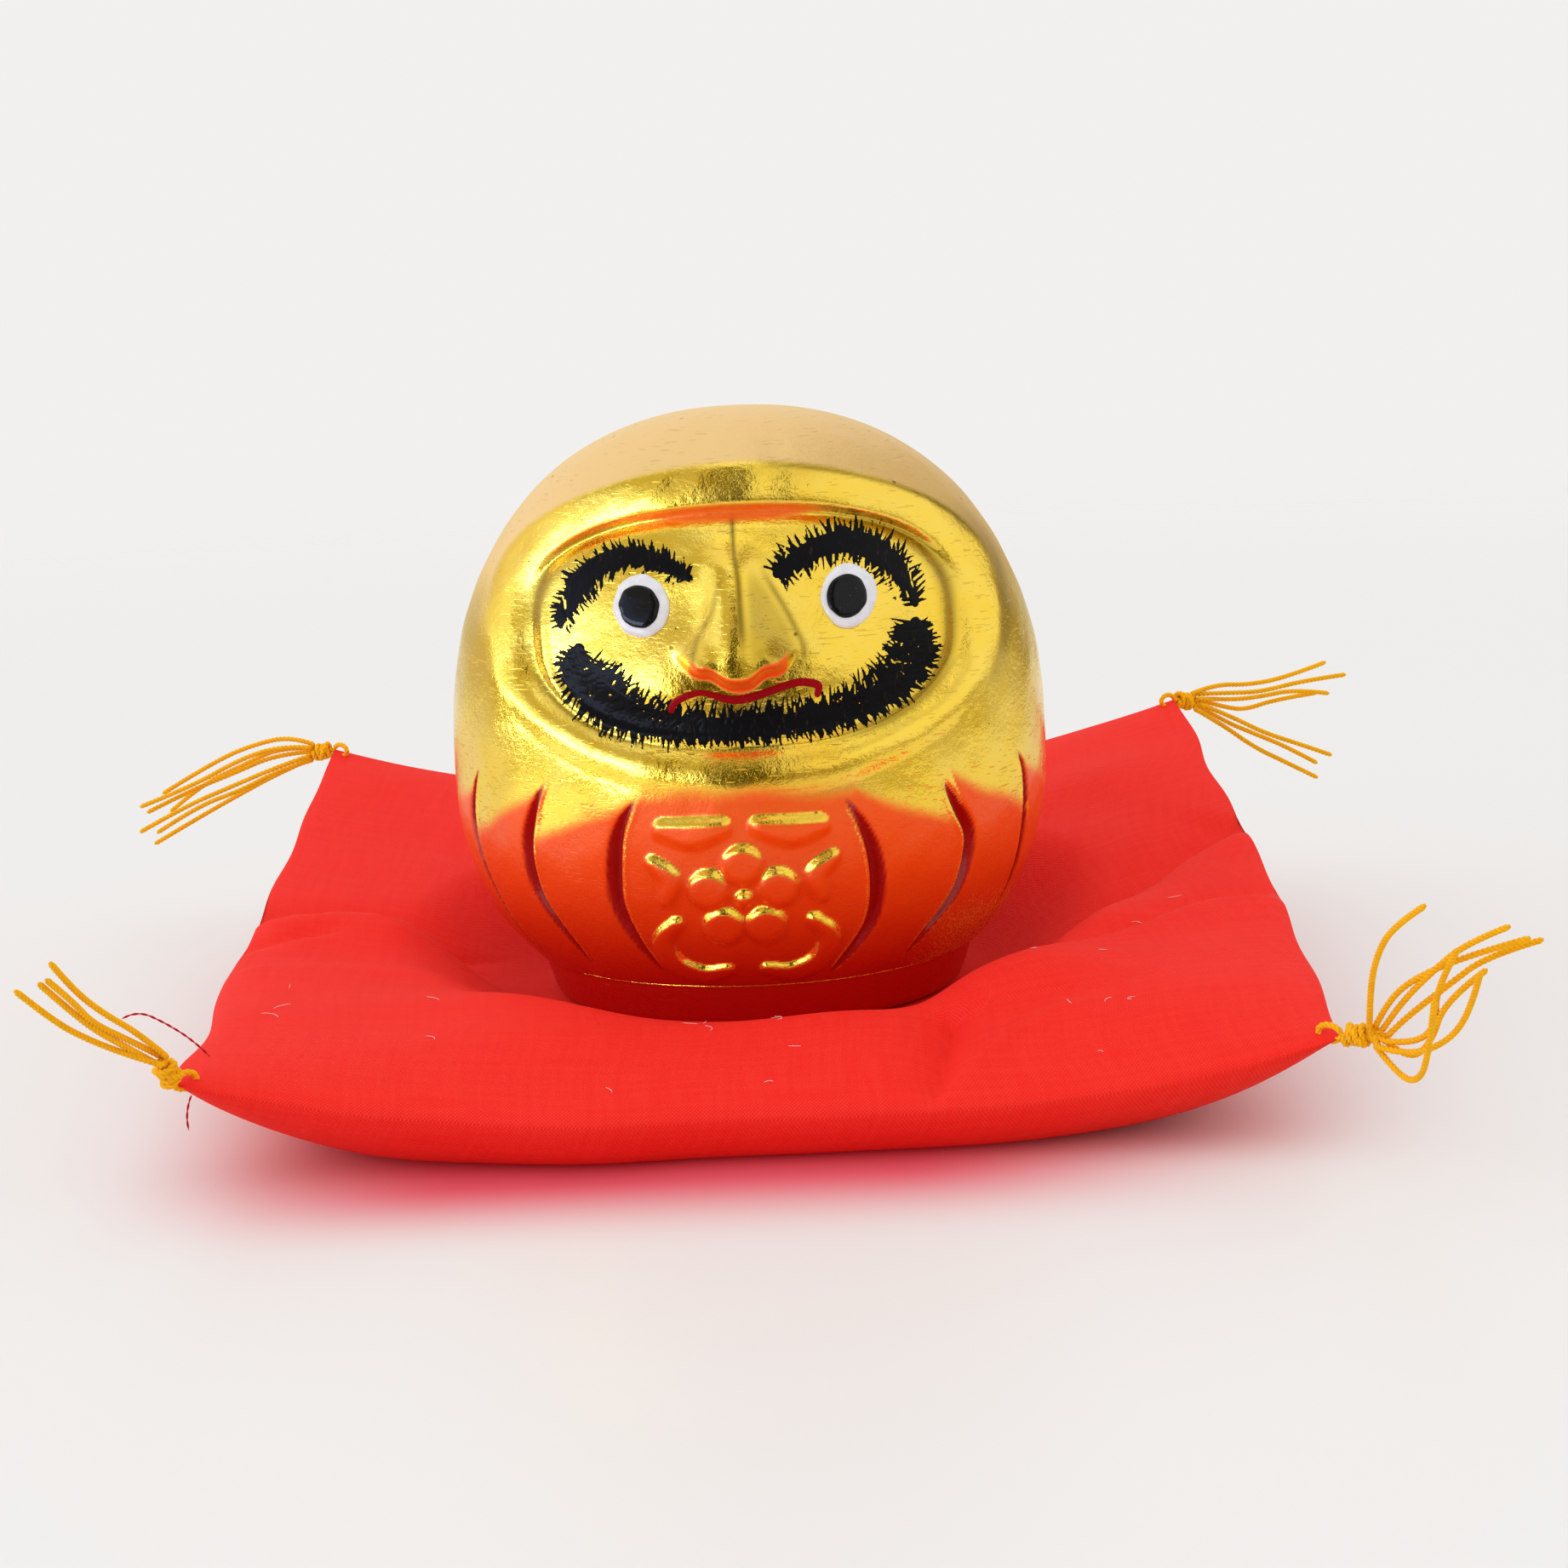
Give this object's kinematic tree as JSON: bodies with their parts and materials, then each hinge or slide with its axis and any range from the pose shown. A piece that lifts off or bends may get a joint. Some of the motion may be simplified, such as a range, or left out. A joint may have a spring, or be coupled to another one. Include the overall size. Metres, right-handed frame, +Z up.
{
  "type": "daruma doll on a cushion",
  "caption": "Round hollow pottery daruma doll in gold leaf and red, with brushed face and raised belly motif, on a stuffed red cloth cushion with yarn tassels at its corners.",
  "frame": {"origin": "on the table under the doll's axis, in the cushion's flat underside", "axes": "+Z up, doll faces -Y, +X to the viewer's right"},
  "size_m": [0.2459, 0.2232, 0.1061],
  "materials": {
    "gold_body": "gold leaf over red lacquer, polished",
    "relief": "red lacquer with rubbed gold edges",
    "white_enamel": "gloss enamel",
    "black_enamel": "gloss enamel",
    "black_brushwork": "brushed lacquer",
    "red_brushwork": "brushed lacquer",
    "red_cloth": "plain weave",
    "wadding": "loose fibre",
    "yellow_yarn": "twisted yarn",
    "red_thread": "sewing thread"
  },
  "bodies": {
    "cushion": {"cushion_cover_top": "red_cloth", "cushion_cover_bottom": "red_cloth", "cushion_wadding": "wadding", "thread_tails": "red_thread", "corner_stitch_front_left": "yellow_yarn", "corner_stitch_front_right": "yellow_yarn", "corner_stitch_back_left": "yellow_yarn", "corner_stitch_back_right": "yellow_yarn"},
    "doll": {"doll_body": "gold_body", "belly_relief": "relief", "eye_white_left": "white_enamel", "eye_white_right": "white_enamel", "pupil_left": "black_enamel", "pupil_right": "black_enamel", "brow_left": "black_brushwork", "brow_right": "black_brushwork", "beard": "black_brushwork", "mouth_line": "red_brushwork"},
    "tassel_front_left": {"tassel_knot_front_left": "yellow_yarn", "tassel_strands_front_left": "yellow_yarn"},
    "tassel_front_right": {"tassel_knot_front_right": "yellow_yarn", "tassel_strands_front_right": "yellow_yarn"},
    "tassel_back_left": {"tassel_knot_back_left": "yellow_yarn", "tassel_strands_back_left": "yellow_yarn"},
    "tassel_back_right": {"tassel_knot_back_right": "yellow_yarn", "tassel_strands_back_right": "yellow_yarn"}
  },
  "joints": [
    {"name": "doll_lift", "type": "slide", "parent": "cushion", "child": "doll", "axis": [0, 0, 1], "range_m": [0, 0.12]},
    {"name": "tassel_swing_front_left", "type": "hinge", "parent": "cushion", "child": "tassel_front_left", "pos_m": [-0.084, -0.0896, 0.017], "axis": [-0.9372, 0.3489, 0], "range_deg": [-40, 30]},
    {"name": "tassel_swing_front_right", "type": "hinge", "parent": "cushion", "child": "tassel_front_right", "pos_m": [0.084, -0.0896, 0.017], "axis": [-0.866, -0.5, 0], "range_deg": [-40, 30]},
    {"name": "tassel_swing_back_left", "type": "hinge", "parent": "cushion", "child": "tassel_back_left", "pos_m": [-0.084, 0.0854, 0.037], "axis": [0.2, 0.9798, 0], "range_deg": [-30, 60]},
    {"name": "tassel_swing_back_right", "type": "hinge", "parent": "cushion", "child": "tassel_back_right", "pos_m": [0.084, 0.0854, 0.04], "axis": [0.436, -0.9, 0], "range_deg": [-40, 50]}
  ]
}
